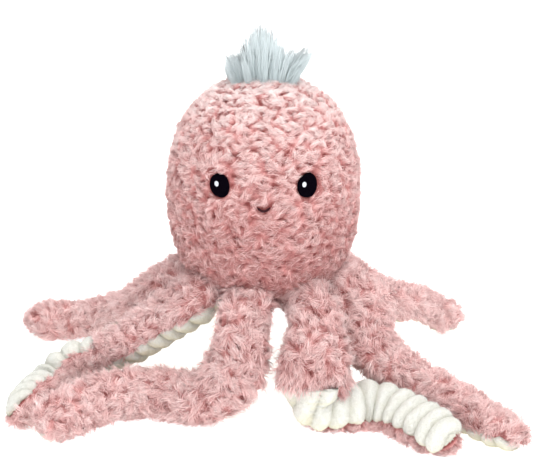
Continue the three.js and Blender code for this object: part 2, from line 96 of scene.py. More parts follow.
# Each arm: seat round the head, path rows of its upper and lower half, and the way its fur faces in each.
# A row is a place from the root, over the reach, and a height, over the root's. The front, side and back
# arms' rows lie a few millimetres off the solids' own, closer to the photograph.
ARMS = {
    "front_left": (-0.5,
        [(-0.025, -0.06, 0.92), (-0.035, -0.095, 0.72), (-0.05, -0.1, 0.52), (-0.09, -0.1, 0.36)],
        [(-0.175, -0.09, 0.23), (-0.29, -0.035, 0), (-0.43, 0, 0),
         (-0.58, -0.065, 0), (-0.69, -0.185, 0), (-0.745, -0.28, 0)],
        [(-0.1, -0.6, 1), (0, -1, 0.5), (0, -1, 0.3)],
        [(0, -1, 0.3), (0, -1, 0.5), (0.3, -0.8, 0.8)]),
    "front_right": (0.5,
        [(0.04, -0.09, 0.9), (0.05, -0.14, 0.72), (0.042, -0.165, 0.53), (0.04, -0.175, 0.4)],
        [(0.058, -0.175, 0.23), (0.14, -0.165, 0), (0.25, -0.135, 0),
         (0.35, -0.18, 0), (0.45, -0.31, 0), (0.525, -0.42, 0)],
        [(0.2, -0.6, 1), (0.1, -1, 0.4), (0, -1, 0.1)],
        [(0.6, 0.9, -0.2), (0, 0.75, -0.85), (0.4, 0.5, -0.85)]),
    "side_left": (-1.5,
        [(-0.055, -0.02, 0.91), (-0.145, 0, 0.76), (-0.225, 0.02, 0.62),
         (-0.315, 0.05, 0.47), (-0.415, 0.08, 0.34)],
        [(-0.53, 0.08, 0.27), (-0.62, 0.01, 0), (-0.665, -0.13, 0), (-0.678, -0.265, 0)],
        [(-0.6, 0, 1), (-0.2, 0.2, 1), (0, 0, 1)],
        [(0.1, -0.4, -1), (0.4, -0.2, -0.9), (0.8, -0.1, -0.6)]),
    "side_right": (1.5,
        [(0.08, -0.05, 0.86), (0.16, -0.135, 0.52), (0.268, -0.15, 0.3)],
        [(0.38, -0.18, 0.18), (0.485, -0.285, 0), (0.57, -0.42, 0), (0.67, -0.54, 0)],
        [(0.3, -0.4, 1), (0, -0.6, 1), (0.1, -0.4, 1)],
        [(0.1, -0.4, 1), (0.2, -0.2, 1), (0.4, 0.5, 1)]),
    "back_left": (-2.5,
        [(-0.105, 0.065, 0.84), (-0.215, 0.215, 0.58), (-0.305, 0.355, 0.38)],
        [(-0.4, 0.445, 0.26), (-0.51, 0.485, 0), (-0.635, 0.47, 0), (-0.74, 0.445, 0)],
        [(-0.6, 0.4, 1), (-0.3, 0.1, 1), (0, -0.3, 1)],
        [(0, -0.3, 1), (0, -0.6, 1), (0, -0.8, 1)]),
    "back_right": (2.5,
        [(0.1, 0.045, 0.84), (0.22, 0.11, 0.61), (0.335, 0.23, 0.45)],
        [(0.42, 0.35, 0.35), (0.5, 0.42, 0.22), (0.565, 0.435, 0.04), (0.62, 0.405, 0)],
        [(0.6, 0.2, 1), (0.2, -0.3, 1), (0, -0.7, 1)],
        [(0, -0.7, 1), (0, -0.8, 1), (0.1, -0.8, 1)]),
    "rear_left": (-3.5,
        [(-0.02, 0.095, 0.89), (-0.02, 0.215, 0.65), (-0.04, 0.355, 0.41)],
        [(-0.11, 0.485, 0.24), (-0.23, 0.555, 0), (-0.36, 0.575, 0), (-0.46, 0.56, 0)],
        [(-0.3, 0.6, 1), (0, 0.6, 1), (0, 0.3, 1)],
        [(0, 0.3, 1), (-0.1, 0, 1), (0, 0.3, 1)]),
    "rear_right": (3.5,
        [(0.045, 0.08, 0.89), (0.095, 0.195, 0.65), (0.155, 0.325, 0.41)],
        [(0.235, 0.445, 0.24), (0.345, 0.505, 0), (0.46, 0.525, 0), (0.55, 0.535, 0)],
        [(0.2, 0.6, 1), (0.2, 0.6, 1), (0, 0.3, 1)],
        [(0, 0.3, 1), (0, 0, 1), (-0.1, 0.3, 1)]),
}

# -------- looks of the pile
# How far below the solid's surface the locks stand
HEAD_INSET, ARM_INSET = 2.2, 3.0
HEAD_AREA, ARM_GIRTH = 66000.0, 84.0
HEAD_LOCK, ARM_LOCK = 4.7, 5.6
HEAD_RISE, ARM_RISE = 3.3, 3.8
HEAD_STRANDS, ARM_STRANDS, TUFT_STRANDS = 100000, 200000, 7000
STRANDS_PER_PIECE = 17500
HEAD_GIRTH, ARM_STRAND_GIRTH, NAP_GIRTH = 0.15, 0.16, 0.26
LOCK_PACKING = 0.87
ARM_SPREAD = 1.45
PIT_SHADE_SIZE = 9.0
STRAND_ROUNDING = 0.7
RIB_PITCH = 12.6
RIB_LOW, RIB_HIGH, RIB_BACK = -1.9, 2.3, 6.0
RIB_NAP = 60000
# From how far before a hinge to how far past it, the span that flex works out round each hinge
ROOT_FLEX, BEND_FLEX = (2, 34), (-13, 13)
FLOOR_GAP = 0.3
FAR = 99.0
PATH_STEPS = 400

# Arms slimmer than their solids: the share of the size left, from one share of the length to another
SLIM = {
    "back_left": (0.8, 0.4, 0.9), "back_right": (0.84, 0.5, 1.1),
    "front_left": (0.8, 0.05, 0.3), "front_right": (0.76, 0.05, 0.28),
}
SLIM_EDGE = 1.4
# The front right arm folds at its bend: it swells there, its ribs are wider past the fold, and widest
# over a run from the fold and at the tip
WIDE_RIBS, FOLD_RIBS = radians(22), radians(48)
FOLD_RUN, TIP_RIBS, TIP_RIBS_RUN = 0.16, 0.9, 0.06
FOLD_SWELL, FOLD_SWELL_RUN = 6.0, 0.07

# Locks of the tuft: place across its base, lean across, and length
TUFT_LOCKS = [
    (-20, -0.5, 15), (-18, -0.5, 21), (-16, -0.45, 23), (-14, -0.4, 24), (-12, -0.3, 25),
    (-10, -0.15, 28), (-8, -0.08, 41), (-5, -0.05, 44), (-2, -0.02, 46), (1, 0.0, 45),
    (4, 0.04, 42), (7, 0.08, 37), (10, 0.14, 31), (13, 0.32, 27), (15, 0.5, 26),
    (17, 0.62, 28), (18, 0.7, 27), (19, 0.5, 20), (20, 0.5, 14),
]


def clamp(values):
    return np.clip(values, 0, 1)


def running(steps):
    """The sum of the steps up to each place, from 0."""
    return np.concatenate([[0], np.cumsum(steps)])


def round_turns(count):
    return np.linspace(0, 2 * pi, count, endpoint=False)


def unit(v):
    return v / np.maximum(np.linalg.norm(v, axis=-1, keepdims=True), 1e-9)


def square_to(v, axis):
    """The direction that is left of v when it is laid square to the axis."""
    return unit(v - axis * (v * axis).sum(1, keepdims=True))


def world(points):
    return np.asarray(points) * MM + AXIS


def spread(count, seed):
    """Evenly spread pairs in the unit square, by steps of the plastic ratio."""
    plastic = 1.32471795724
    i = np.arange(1, count + 1)
    start = np.random.default_rng(seed).random(2)
    return np.stack([(start[0] + i / plastic) % 1, (start[1] + i / plastic ** 2) % 1], 1)


def lumps(points, size, seed):
    """Smooth uneven values from about -1 to 1, that change over the given size."""
    rng = np.random.default_rng(seed)
    total = np.zeros(len(points))
    for _ in range(10):
        direction = unit(rng.normal(size=3)) / size * rng.uniform(0.7, 1.6)
        total += np.sin(points @ direction * 2 * pi + rng.uniform(0, 2 * pi))
    return total / 3.2


# -------- meshes
def mesh_from(name, verts, polys, material):
    """verts in metres; polys is a list of integer arrays, each with rows of 3 or 4 corners."""
    mesh = bpy.data.meshes.new(name)
    mesh.vertices.add(len(verts))
    mesh.vertices.foreach_set("co", np.asarray(verts, np.float32).ravel())
    corners = np.concatenate([p.ravel() for p in polys]).astype(np.int32)
    sizes = np.concatenate([np.full(len(p), p.shape[1], np.int32) for p in polys])
    starts = running(sizes)[:-1].astype(np.int32)
    mesh.loops.add(len(corners))
    mesh.loops.foreach_set("vertex_index", corners)
    mesh.polygons.add(len(sizes))
    mesh.polygons.foreach_set("loop_start", starts)
    mesh.polygons.foreach_set("use_smooth", np.full(len(sizes), True))
    mesh.update(calc_edges=True)
    mesh.materials.append(material)
    made = bpy.data.objects.new(name, mesh)
    scene.collection.objects.link(made)
    return made


def paint(made, name, values):
    attribute = made.data.attributes.new(name, "FLOAT", "POINT")
    attribute.data.foreach_set("value", np.asarray(values, np.float32))


def strand_object(name, paths, girths, tones, tints, facing, material):
    """Closed three-sided strands. paths is count x rings+1 x 3 in metres, the last point the tip.

    Each strand is shaded mostly as the lock it lies on, which faces the way that facing says.
    """
    count, rings = paths.shape[0], paths.shape[1] - 1
    rng = np.random.default_rng(len(name) + count)
    along = unit(paths[:, -1] - paths[:, 0])
    side = unit(np.cross(along, unit(rng.normal(size=(count, 3)))))
    other = np.cross(along, side)
    verts = np.empty((count, 3 * rings + 1, 3))
    normals = np.repeat(facing[:, None], 3 * rings + 1, axis=1)
    for ring in range(rings):
        for k in range(3):
            turn = 2 * pi * k / 3
            offset = side * cos(turn) + other * sin(turn)
            verts[:, 3 * ring + k] = paths[:, ring] + offset * girths[:, ring, None]
            normals[:, 3 * ring + k] += offset * STRAND_ROUNDING
    verts[:, -1] = paths[:, -1]
    base = (np.arange(count) * (3 * rings + 1))[:, None]
    # Corners of each face, and their places on the map: one cell for each strand, one column for each side
    quads, triangles = [], [([2, 1, 0], [(0.1, 0.01), (0.5, 0.06), (0.9, 0.01)])]
    for ring in range(rings):
        low, high = 0.1 + 0.85 * ring / rings, 0.1 + 0.85 * (ring + 1) / rings
        for k in range(3):
            a, b = 3 * ring + k, 3 * ring + (k + 1) % 3
            left, right = k + 0.1, k + 0.9
            if ring < rings - 1:
                quads.append(([a, b, b + 3, a + 3], [(left, low), (right, low), (right, high), (left, high)]))
            else:
                triangles.append(([a, b, 3 * rings], [(left, low), (right, low), (k + 0.5, 0.97)]))
    faces = quads + triangles
    corners = [base + np.array(face) for face, _ in faces]
    made = mesh_from(name, verts.reshape(-1, 3), corners, material)
    made.data.normals_split_custom_set_from_vertices(unit(normals).reshape(-1, 3))
    paint(made, "tone", np.repeat(tones, [3] * rings + [1], axis=1).ravel())
    paint(made, "tint", np.repeat(tints, 3 * rings + 1))
    grid = ceil(sqrt(count))
    cell = np.stack([np.arange(count) % grid, np.arange(count) // grid], 1)[:, None] / grid
    uvs = [(cell + np.array(sheet) * [1 / 3, 1] / grid).reshape(-1, 2) for _, sheet in faces]
    layer = made.data.uv_layers.new(name="OFBake")
    layer.data.foreach_set("uv", np.concatenate(uvs).astype(np.float32).ravel())
    return made


def tube_object(name, rings, material, ends=None):
    """A closed body through rings of points, count x sides x 3 in metres, with a point at either end."""
    count, sides = rings.shape[:2]
    around = np.arange(sides)
    after = (around + 1) % sides
    start = (np.arange(count - 1) * sides)[:, None]
    a, b = (start + around).ravel(), (start + after).ravel()
    verts = np.vstack([rings.reshape(-1, 3), *(ends or (rings[0].mean(0), rings[-1].mean(0)))])
    first, last, end = count * sides, count * sides + 1, (count - 1) * sides
    return mesh_from(name, verts, [
        np.stack([a, b, b + sides, a + sides], 1),
        np.stack([after, around, np.full(sides, first)], 1),
        np.stack([end + around, end + after, np.full(sides, last)], 1),
    ], material)


# -------- materials
def colour(*values):
    """A colour as it looks on a screen, from 0 to 255, as the shader's own values."""
    shares = (c / 255 for c in values)
    return (*(c / 12.92 if c <= 0.04045 else ((c + 0.055) / 1.055) ** 2.4 for c in shares), 1)


def material(name, rough, sheen=0.0, sheen_tint=(1, 1, 1, 1), gloss=0.2):
    made = bpy.data.materials.new(name)
    made.use_nodes = True
    tree = made.node_tree
    shader = tree.nodes["Principled BSDF"]
    values = {
        "Roughness": rough, "Specular IOR Level": gloss,
        "Sheen Weight": sheen, "Sheen Roughness": 0.45, "Sheen Tint": sheen_tint,
    }
    for key, value in values.items():
        shader.inputs[key].default_value = value
    return made, tree, shader


def node(tree, kind, **values):
    made = tree.nodes.new("ShaderNode" + kind)
    for key, value in values.items():
        if key in made.inputs:
            made.inputs[key].default_value = value
        else:
            setattr(made, key, value)
    return made


def link(source, socket):
    source.id_data.links.new(source, socket)


def ramp(tree, stops, source):
    made = node(tree, "ValToRGB")
    elements = made.color_ramp.elements
    while len(elements) < len(stops):
        elements.new(0.5)
    for element, (place, value) in zip(elements, stops):
        element.position = place
        element.color = value
    link(source, made.inputs["Fac"])
    return made.outputs["Color"]


def multiply(tree, a, b, share=1.0):
    made = node(tree, "Mix", data_type="RGBA", blend_type="MULTIPLY")
    factor, first, second = (made.inputs[k] for k in (0, 6, 7))
    factor.default_value = share
    link(a, first)
    link(b, second)
    return made.outputs[2]


def attribute(tree, name):
    return node(tree, "Attribute", attribute_name=name).outputs["Fac"]


def texture(tree, kind, **values):
    """A texture in the piece's own space."""
    made = node(tree, kind, **values)
    link(node(tree, "TexCoord").outputs["Object"], made.inputs["Vector"])
    return made.outputs[0]


def noise(tree, scale, detail, roughness):
    return texture(tree, "TexNoise", Scale=scale, Detail=detail, Roughness=roughness)


def bump(tree, shader, height, strength, distance):
    made = node(tree, "Bump", Strength=strength, Distance=distance)
    link(height, made.inputs["Height"])
    link(made.outputs["Normal"], shader.inputs["Normal"])


def pile_material(name, stops, deep, rough, sheen):
    """Fur: painted shade makes it deeper at the root and between locks; paler at the tips, and uneven from
    lock to lock.
    """
    made, tree, shader = material(name, rough, sheen, colour(255, 236, 234))
    shade = ramp(tree, [(0.0, deep), (0.5, PLAIN)], attribute(tree, "tint"))
    link(multiply(tree, ramp(tree, stops, attribute(tree, "tone")), shade), shader.inputs["Base Color"])
    return made


PLAIN = colour(255, 255, 255)
# Colours by tone: the deep end is painted shade at the roots and between locks, the pale end the tips
PINKS = [
    (0.0, colour(146, 80, 78)), (0.2, colour(192, 131, 128)),
    (0.45, colour(238, 198, 195)), (0.8, colour(255, 235, 232)), (1.0, colour(255, 246, 244)),
]
# Tuft colours from root to tip, the darker root end painted shade
PALES = [(0.0, colour(186, 200, 202)), (0.4, colour(198, 211, 213)), (1.0, colour(216, 226, 228))]
PINK_PILE = pile_material("pink_pile", PINKS, (0.95, 0.87, 0.87, 1), rough=0.9, sheen=0.35)
PALE_HAIR = pile_material("pale_hair", PALES, (0.93, 0.95, 0.96, 1), rough=0.6, sheen=0.2)


def cloth_material():
    made, tree, shader = material("pink_backing", 0.95, 0.2, colour(255, 220, 218))
    grain = noise(tree, 900.0, 3.0, 0.6)
    base = ramp(tree, PINKS, attribute(tree, "tone"))
    soft = ramp(tree, [(0.3, colour(246, 238, 238)), (0.7, PLAIN)], noise(tree, 70.0, 2.0, 0.5))
    fleck = ramp(tree, [(0.35, colour(206, 200, 200)), (0.65, PLAIN)], grain)
    link(multiply(tree, multiply(tree, base, soft), fleck), shader.inputs["Base Color"])
    bump(tree, shader, grain, 0.6, 0.0004)
    return made


def rib_material():
    """Short looped nap, with painted shade greyer between the rolls and a cream painted shade where it faces
    down.
    """
    made, tree, shader = material("white_chenille", 0.95, 0.35, colour(255, 255, 250))
    grain = noise(tree, 1100.0, 3.0, 0.65)
    loops = texture(tree, "TexVoronoi", Scale=850.0, Randomness=0.7)
    # Painted shade: greyer where the rolls dip, by the tone
    greys = [(0.0, colour(198, 197, 187)), (0.4, colour(212, 212, 206)), (1.0, colour(220, 221, 217))]
    base = ramp(tree, greys, attribute(tree, "tone"))
    soft = ramp(tree, [(0.3, colour(248, 247, 243)), (0.7, PLAIN)], noise(tree, 160.0, 3.0, 0.5))
    fleck = ramp(tree, [(0.0, PLAIN), (0.75, colour(236, 235, 230))], loops)
    tone = multiply(tree, multiply(tree, base, soft), fleck, 0.6)
    # Painted shade: the parts that face down are tinted cream, as the shade under the arms looks
    facing = node(tree, "SeparateXYZ")
    link(node(tree, "NewGeometry").outputs["Normal"], facing.inputs[0])
    down = node(tree, "Math", operation="MULTIPLY")
    down.inputs[1].default_value = -1.0
    link(facing.outputs["Z"], down.inputs[0])
    cream_shade = ramp(tree, [(0.1, PLAIN), (0.8, colour(255, 249, 222))], down.outputs[0])
    link(multiply(tree, tone, cream_shade), shader.inputs["Base Color"])
    height = node(tree, "Math", operation="SUBTRACT")
    link(grain, height.inputs[0])
    link(loops, height.inputs[1])
    bump(tree, shader, height.outputs[0], 0.8, 0.0006)
    return made


def thread_material(name, dark, light, rough, gloss):
    made, tree, shader = material(name, rough, gloss=gloss)
    grain = noise(tree, 1500.0, 2.0, 0.6)
    link(ramp(tree, [(0.3, dark), (0.75, light)], grain), shader.inputs["Base Color"])
    bump(tree, shader, grain, 0.4, 0.0002)
    return made


BACKING = cloth_material()
CHENILLE = rib_material()
NAVY = thread_material("navy_thread", colour(4, 2, 6), colour(11, 8, 14), 0.9, 0.0)
WHITE = thread_material("white_thread", colour(180, 185, 193), colour(212, 217, 223), 0.7, 0.3)
MOUTH = thread_material("mouth_thread", colour(30, 10, 15), colour(58, 24, 30), 0.7, 0.1)


# -------- the head's shape
def rounded(share):
    """From 1 in the middle to 0 at the edge of the head's full curve."""
    return (1 - share ** HEAD_FULLNESS) ** (1 / HEAD_FULLNESS)


def head_radius(height, margin):
    reach = np.where(height > HEAD_LEVEL, CROWN_RISE, CHIN_DROP) + margin
    away = np.minimum(1, np.abs(height - HEAD_LEVEL) / reach)
    return (HEAD_WIDTH / 2 + margin) * rounded(away)


def head_profile(margin, floor, steps):
    """Radius and height rows from the floor up to the crown."""
    low = asin(max(-1, (floor - HEAD_LEVEL) / (CHIN_DROP + margin)))
    turn = np.linspace(low, pi / 2, steps + 1)
    lift = np.where(turn < 0, CHIN_DROP, CROWN_RISE) + margin
    height = HEAD_LEVEL + lift * np.sign(turn) * np.abs(np.sin(turn)) ** (2 / HEAD_FULLNESS)
    height[0] = floor
    radius = head_radius(height, margin)
    radius[-1] = 0
    return radius, height


def front_of_head(across, level, margin):
    """The place on the front of the head, grown by a margin, at a place across and a level."""
    reach = head_radius(level, margin)
    back = np.sqrt(np.maximum(reach ** 2 - across ** 2, 0))
    return np.stack([across, -back, level], -1)


def head_samples(pairs, margin, floor):
    """Places, outward directions and sideways directions, spread evenly over the head."""
    radius, height = head_profile(margin, floor, PATH_STEPS)
    slant = np.hypot(np.diff(radius), np.diff(height))
    area = slant * (radius[1:] + radius[:-1])
    share = running(area) / area.sum()
    row = np.interp(pairs[:, 0], share, np.arange(len(share)))
    columns = radius, height, np.gradient(radius), np.gradient(height)
    r, z, dr, dz = (np.interp(row, np.arange(len(radius)), column) for column in columns)
    turn = 2 * pi * pairs[:, 1]
    ring = np.stack([np.sin(turn), -np.cos(turn), np.zeros_like(turn)], 1)
    places = ring * r[:, None] + UP * z[:, None]
    outward = unit(ring * dz[:, None] - UP * dr[:, None])
    sideways = np.stack([np.cos(turn), np.sin(turn), np.zeros_like(turn)], 1)
    return places, outward, sideways


# -------- the arms' shape
def table_value(rows, share):
    return np.interp(share, *zip(*rows))


def through(points, knots):
    """Places on the smooth curve through the points, at knots from 0 to 1."""
    points = np.asarray(points, float)
    padded = np.vstack([2 * points[0] - points[1], points, 2 * points[-1] - points[-2]])
    at = clamp(knots) * (len(points) - 1)
    index = np.minimum(at.astype(int), len(points) - 2)
    t = (at - index)[:, None]
    p0, p1, p2, p3 = (padded[index + k] for k in range(4))
    t0, t1 = (p2 - p0) / 2, (p3 - p1) / 2
    second, third = -3 * p1 + 3 * p2 - 2 * t0 - t1, 2 * p1 - 2 * p2 + t0 + t1
    return p1 + t0 * t + second * t ** 2 + third * t ** 3


class Arm:
    """An arm's path, sections and seams, at shares of its length from inside the head to its tip."""

    def __init__(self, name):
        self.name = name
        seat, upper_rows, lower_rows, self.upper_tops, self.lower_tops = ARMS[name]
        turn = seat * 2 * pi / len(ARMS) + RING_TURN
        self.outward = np.array([sin(turn), -cos(turn), 0])
        self.dressed = False
        root = self.outward * RING_RADIUS + [0, 0, ROOT_HEIGHT]
        inside = self.outward * (RING_RADIUS - ARM_HALF_THICKNESS) + [0, 0, ROOT_HEIGHT + ROOT_RISE]
        rows = upper_rows + lower_rows
        drops = np.full(len(rows), ARM_HALF_THICKNESS)
        grid = np.linspace(0, 1, PATH_STEPS + 1)
        # Rows on the floor are lifted until the section there rests on it, which bends the path again
        for _ in range(3):
            points = [inside, root]
            for (x, y, lift), drop in zip(rows, drops):
                height = max(drop - FLOOR_FLAT, ROOT_HEIGHT * lift)
                points.append([root[0] + ARM_REACH * x, root[1] + ARM_REACH * y, height])
            places = through(points, grid)
            lengths = running(np.linalg.norm(np.diff(places, axis=0), axis=1))
            knots = (2 + np.arange(len(rows))) / (1 + len(rows))
            shares = lengths[np.round(knots * PATH_STEPS).astype(int)] / lengths[-1]
            self.bend = shares[len(upper_rows) - 1]
            self.length = lengths[-1]
            self.points, self.lengths, self.grid = points, lengths, grid
            self.root_share = lengths[round(PATH_STEPS / (1 + len(rows)))] / lengths[-1]
            for i, share in enumerate(shares):
                at = min(share, 1 - TIP_ROUND)
                c, _, up, across, a, b, _ = self.stations(np.array([at]))
                u, v = self.rough_outline(a[0], b[0])
                low = (c[0][2] + u * across[0][2] + v * up[0][2]).min()
                drops[i] = c[0][2] - low
        self.dressed = True

    @staticmethod
    def rough_outline(a, b):
        """The solid's section, with few corners."""
        gap = 3 * PANEL_CLEARANCE / b
        cover = np.linspace(-SEAM_ANGLE, pi + SEAM_ANGLE, COVER_POINTS)
        panel = np.linspace(pi + SEAM_ANGLE + gap, 2 * pi - SEAM_ANGLE - gap, PANEL_POINTS)
        turn = np.concatenate([cover, panel])
        return a * np.cos(turn), b * np.sin(turn)

    def facing(self, tops, share):
        tops = unit(np.array(tops, float))
        at = clamp(share) * (len(tops) - 1)
        before = np.minimum(np.floor(at).astype(int), len(tops) - 2)
        t = (at - before)[:, None]
        return unit(tops[before] * (1 - t) + tops[before + 1] * t)

    def stations(self, shares):
        """Centre, directions, half sizes and tip rounding of the sections."""
        knots = np.interp(shares * self.lengths[-1], self.lengths, self.grid)
        centre = through(self.points, knots)
        step = 1e-4
        before, after = (through(self.points, clamp(knots + k)) for k in (-step, step))
        along = unit(after - before)
        upper = self.facing(self.upper_tops, shares / self.bend)
        lower = self.facing(self.lower_tops, (shares - self.bend) / (1 - self.bend))
        up = np.where((shares <= self.bend)[:, None], upper, lower)
        up = square_to(up, along)
        across = np.cross(up, along)
        tip = clamp((shares - 1 + TIP_ROUND) / TIP_ROUND)
        rounding = np.sqrt(1 - tip ** 2)
        a = ARM_HALF_WIDTH * table_value(WIDTH_ROWS, shares) * rounding
        b = ARM_HALF_THICKNESS * table_value(THICKNESS_ROWS, shares) * rounding
        if self.dressed and self.name in SLIM:
            left, start, end = SLIM[self.name]
            away = (shares - (start + end) / 2) / ((end - start) / 2)
            thin = 1 - (1 - left) * clamp(SLIM_EDGE * (1 - np.abs(away)))
            a, b = a * thin, b * thin
        if self.dressed and self.name == "front_right":
            a = a + FOLD_SWELL * np.exp(-((shares - self.bend + 0.01) / FOLD_SWELL_RUN) ** 2)
        return centre, along, up, across, a, b, rounding

    def surface(self, shares, turns, inset):
        """Places and outward directions on the arm, its section drawn in by inset."""
        centre, along, up, across, a, b, rounding = self.stations(shares)
        least = 0.3
        a, b = np.maximum(a - inset, a * least), np.maximum(b - inset, b * least)
        u, v = a * np.cos(turns), b * np.sin(turns)
        places = centre + across * u[:, None] + up * v[:, None]
        nu, nv = np.cos(turns) / np.maximum(a, 0.5), np.sin(turns) / np.maximum(b, 0.5)
        outward = unit(across * nu[:, None] + up * nv[:, None])
        lean = np.sqrt(clamp(1 - rounding ** 2))[:, None]
        outward = unit(outward * (1 - 0.85 * lean) + along * lean)
        return places, outward, along, across, up

    def split(self):
        """Where the pieces by the root hinge end, and those by the halfway hinge begin."""
        return (self.root_share + self.bend) / 2

    def seams(self, shares):
        """Where the fur ends and the ribs begin on either side, and nearly closed at the tip."""
        low, high, closing, closing_run = np.full(len(shares), -SEAM_ANGLE), pi + SEAM_ANGLE, 0.955, 0.035
        if self.name == "front_right":
            closing = 0.985
            high = np.where(shares > self.bend, high - WIDE_RIBS, high)
            fold = clamp(1 - (shares - self.bend) / FOLD_RUN) * (shares > self.bend)
            tip = clamp((shares - TIP_RIBS) / TIP_RIBS_RUN)
            low, high = low + FOLD_RIBS * np.maximum(fold, tip), high - FOLD_RIBS * tip
        close = (pi / 2 - SEAM_ANGLE) * clamp((shares - closing) / closing_run) ** 2
        return low - close, high + close

    def furry(self, shares, turns):
        """Which turns lie on the furry side."""
        low, high = self.seams(shares)
        return (turns > low) & (turns < high)

    def underside(self, shares):
        """The middle turn of the ribbed side, and how far it reaches either way."""
        low, high = self.seams(shares)
        return (2 * pi + low + high) / 2, (2 * pi + low - high) / 2

    def seam_nearness(self, shares, turns):
        """0 over the furry side, rising to 1 at the seams with the ribbed side."""
        low, high = self.seams(shares)
        return clamp(np.maximum(low - turns, turns - high) / SEAM_ANGLE + 1)


made_arms = {name: Arm(name) for name in ARMS}
ARMS_LENGTH = sum(arm.length for arm in made_arms.values())


# -------- fur
def lock_set(places, outward, lie, rng, half_length, half_width, height):
    """Short matted locks of pile: where each lies, which way, and how large it is."""
    count = len(places)
    size = rng.uniform(0.8, 1.2, count)
    return {
        "place": places, "out": outward, "lie": lie, "beside": np.cross(outward, lie),
        "length": half_length * size * rng.uniform(0.9, 1.2, count),
        "width": half_width * size,
        "height": height * rng.uniform(0.6, 1.0, count),
        "tint": clamp(0.5 + 0.35 * lumps(places, 30.0, count) + rng.uniform(-0.4, 0.4, count)),
    }


def lock_field(places, locks, near=7):
    """How high the locks stand at each place, which lock is on top, and the place across it."""
    tree = kdtree.KDTree(len(locks["place"]))
    for i, p in enumerate(locks["place"]):
        tree.insert(p, i)
    tree.balance()
    found = np.array([[hit[1] for hit in tree.find_n(p, near)] for p in places])
    away = places[:, None] - locks["place"][found]
    u = (away * locks["lie"][found]).sum(2) / locks["length"][found]
    v = (away * locks["beside"][found]).sum(2) / locks["width"][found]
    dome = locks["height"][found] * np.sqrt(clamp(1 - u * u - v * v)) * (0.8 + 0.3 * u)
    rows, best = np.arange(len(places)), dome.argmax(1)
    return dome[rows, best], found[rows, best], u[rows, best], v[rows, best]


def grow(places, outward, locks, rng, length, lift, gather, stray, calm, bow=None, painted_height_light=0.0):
    """Root, middle and tip of each strand, combed along the lock it grows on, with its looks.

    Strands are short where calm is near 0 and bend round the body by bow. Their tone holds painted shade at
    the roots, between locks and on each lock's lower side, and painted light given by the last argument.
    """
    height, owner, u, v = lock_field(places, locks)
    height = height * calm
    count = len(places)
    lie, beside, hub, out = (locks[key][owner] for key in ("lie", "beside", "place", "out"))
    root = places + outward * (height - 0.5)[:, None]
    own = length * rng.uniform(0.65, 1.1, count)
    turn = rng.normal(scale=0.42, size=count) - 0.3 * np.clip(v, -1, 1)
    heading = square_to(lie + beside * turn[:, None], outward)
    rise = lift * rng.uniform(0.4, 1.4, count)
    rise = np.where(rng.random(count) < stray, rise * 2.3, rise)
    free = root + heading * own[:, None] + outward * rise[:, None]
    if bow is not None:
        around, radius = bow
        free -= outward * (((heading * around).sum(1) * own) ** 2 / (2 * radius))[:, None]
    point = hub + lie * (locks["length"][owner] * 1.15)[:, None]
    point += out * (locks["height"][owner] * 0.8 + rise)[:, None]
    share = (gather * rng.uniform(0.4, 1.0, count))[:, None]
    tip = free * (1 - share) + point * share
    tip = root + (tip - root) * (0.35 + 0.65 * calm)[:, None]
    middle = (root + tip) / 2 + outward * (0.17 * own)[:, None]
    middle += rng.normal(scale=0.25, size=(count, 3))
    u, v = np.clip(u, -1, 1), np.clip(v, -1, 1)
    facing = unit(outward + lie * (0.8 * u)[:, None] + beside * (0.9 * v)[:, None])
    # Painted shade: strands are darker at the root and where their lock stands low, between locks; the tips
    # are paler
    full = clamp(height / locks["height"].max())
    tone = np.stack([0.05 + 0.35 * full, 0.2 + 0.46 * full, 0.42 + 0.55 * full], 1)
    # Painted shade: dark specks in the pits between locks, deepest where the locks stand low
    pit_shade = 0.5 * clamp(lumps(places, PIT_SHADE_SIZE, 31) - 0.9) * (1.3 - full)
    # Painted shade makes each lock darker on its lower side and in the pits, painted light makes the pile
    # paler higher up, and the rest is random tone
    tone += (0.25 * (facing - outward)[:, 2] + painted_height_light - pit_shade + rng.normal(scale=0.09, size=count))[:, None]
    tone = clamp(tone)
    tint = clamp(locks["tint"][owner] + rng.normal(scale=0.2, size=count))
    return np.stack([root, middle, tip], 1), tone, tint, facing


def make_fur(name, paths, tone, tint, facing, girth, rng):
    """Strands in as many pieces as the largest size of a piece asks for."""
    count = len(paths)
    girths = np.stack([np.full(count, girth), np.full(count, girth * 0.9)], 1)
    girths *= rng.uniform(0.75, 1.2, count)[:, None]
    parts = max(1, ceil(count / STRANDS_PER_PIECE))
    made = []
    for part in range(parts):
        pick = slice(part, None, parts)
        label = name if parts == 1 else f"{name}_{part + 1}"
        made.append(strand_object(
            label, world(paths[pick]), girths[pick] * MM, tone[pick], tint[pick], facing[pick], PINK_PILE,
        ))
    return made


def inside_arms(places, margin, skip=None):
    """Which places lie inside an arm's section, grown by a margin."""
    hit = np.zeros(len(places), bool)
    sections, least = 60, 0.5
    for arm in made_arms.values():
        if arm.name == skip:
            continue
        reach = 0.6 * arm.length / (sections - 1)
        for c, t, u, w, a, b, _ in zip(*arm.stations(np.linspace(0, 1, sections))):
            d = places - c
            x, z = (d @ w) / max(a + margin, least), (d @ u) / max(b + margin, least)
            hit |= (np.abs(d @ t) < reach) & (x ** 2 + z ** 2 < 1)
    return hit


def inside_head(places, margin):
    radius = np.hypot(places[:, 0], places[:, 1])
    level = places[:, 2]
    within = (level > BASE_HEIGHT - margin) & (level < HEAD_LEVEL + CROWN_RISE + margin)
    return within & (radius < head_radius(level, margin))


def eye_distance(places, grow_by):
    """Below 1 where a place lies over an eye on the front of the head."""
    dx = (np.abs(places[:, 0]) - EYE_SPACING / 2) / (EYE_WIDTH / 2 + grow_by)
    dz = (places[:, 2] - EYE_LEVEL) / (EYE_HEIGHT / 2 + grow_by)
    return np.where(places[:, 1] < 0, np.hypot(dx, dz), FAR)


